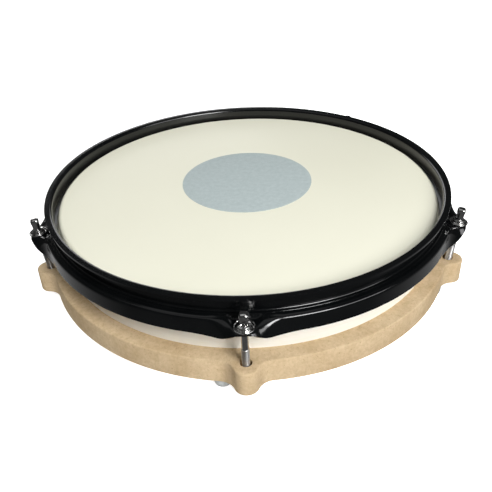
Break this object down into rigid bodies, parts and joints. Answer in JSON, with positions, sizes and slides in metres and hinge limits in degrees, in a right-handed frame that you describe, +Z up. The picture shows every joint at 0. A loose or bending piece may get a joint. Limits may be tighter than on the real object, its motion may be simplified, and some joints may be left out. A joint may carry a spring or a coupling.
{
  "type": "drum practice pad",
  "caption": "Tunable practice pad: a drum head with a centre dot stretched over a shallow wooden ring by a black flanged hoop and tension rods on a lobed board.",
  "frame": {"origin": "centre of the board's underside, on the axis of the shell and hoop; the feet's soles are 6 mm below it", "axes": "+Z up through the head, -Y towards the first lug, +X to the right seen from that lug"},
  "size_m": [0.3328, 0.3372, 0.0721],
  "materials": {
    "board": "raw fibreboard, sanded, rounded edge",
    "shell": "clear-coated pale plywood",
    "foam": "open-cell foam",
    "film": "coated cream polyester film",
    "dot": "woven blue-grey reinforcement patch",
    "flesh_metal": "mill finish channel",
    "hoop_paint": "satin black powder coat on pressed steel",
    "rod_metal": "polished chrome plate",
    "zinc_metal": "zinc plate",
    "bumper": "translucent soft bumper"
  },
  "bodies": {
    "base": {"baseboard": "board", "shell_ring": "shell", "foam_disc": "foam", "drum_head": "film", "centre_dot": "dot", "flesh_hoop": "flesh_metal", "t_nut_1": "zinc_metal", "t_nut_2": "zinc_metal", "t_nut_3": "zinc_metal", "t_nut_4": "zinc_metal", "t_nut_5": "zinc_metal", "shell_screw_1": "zinc_metal", "shell_screw_2": "zinc_metal", "shell_screw_3": "zinc_metal", "shell_screw_4": "zinc_metal", "shell_screw_5": "zinc_metal", "foot_1": "bumper", "foot_2": "bumper", "foot_3": "bumper", "foot_4": "bumper", "foot_5": "bumper"},
    "hoop": {"counter_hoop": "hoop_paint", "rod_washer_1": "rod_metal", "rod_washer_2": "rod_metal", "rod_washer_3": "rod_metal", "rod_washer_4": "rod_metal", "rod_washer_5": "rod_metal"},
    "rod_1": {"tension_rod_1": "rod_metal"},
    "rod_2": {"tension_rod_2": "rod_metal"},
    "rod_3": {"tension_rod_3": "rod_metal"},
    "rod_4": {"tension_rod_4": "rod_metal"},
    "rod_5": {"tension_rod_5": "rod_metal"}
  },
  "joints": [
    {"name": "hoop_lift", "type": "slide", "parent": "base", "child": "hoop", "axis": [0, 0, 1], "range_m": [0, 0.0095]},
    {"name": "rod_1_turn", "type": "hinge", "parent": "hoop", "child": "rod_1", "pos_m": [0, -0.167, 0.0504], "axis": [0, -0.0872, 0.9962], "range_deg": [0, 3240]},
    {"name": "rod_2_turn", "type": "hinge", "parent": "hoop", "child": "rod_2", "pos_m": [0.15883, -0.05161, 0.0504], "axis": [0.0829, -0.0269, 0.9962], "range_deg": [0, 3240]},
    {"name": "rod_3_turn", "type": "hinge", "parent": "hoop", "child": "rod_3", "pos_m": [0.09816, 0.13511, 0.0504], "axis": [0.0512, 0.0705, 0.9962], "range_deg": [0, 3240]},
    {"name": "rod_4_turn", "type": "hinge", "parent": "hoop", "child": "rod_4", "pos_m": [-0.09816, 0.13511, 0.0504], "axis": [-0.0512, 0.0705, 0.9962], "range_deg": [0, 3240]},
    {"name": "rod_5_turn", "type": "hinge", "parent": "hoop", "child": "rod_5", "pos_m": [-0.15883, -0.05161, 0.0504], "axis": [-0.0829, -0.0269, 0.9962], "range_deg": [0, 3240]}
  ],
  "couplings": [
    {"joint": "rod_1_turn", "follows": "hoop_lift", "rad_per_m": 5936.9},
    {"joint": "rod_2_turn", "follows": "hoop_lift", "rad_per_m": 5936.9},
    {"joint": "rod_3_turn", "follows": "hoop_lift", "rad_per_m": 5936.9},
    {"joint": "rod_4_turn", "follows": "hoop_lift", "rad_per_m": 5936.9},
    {"joint": "rod_5_turn", "follows": "hoop_lift", "rad_per_m": 5936.9}
  ]
}
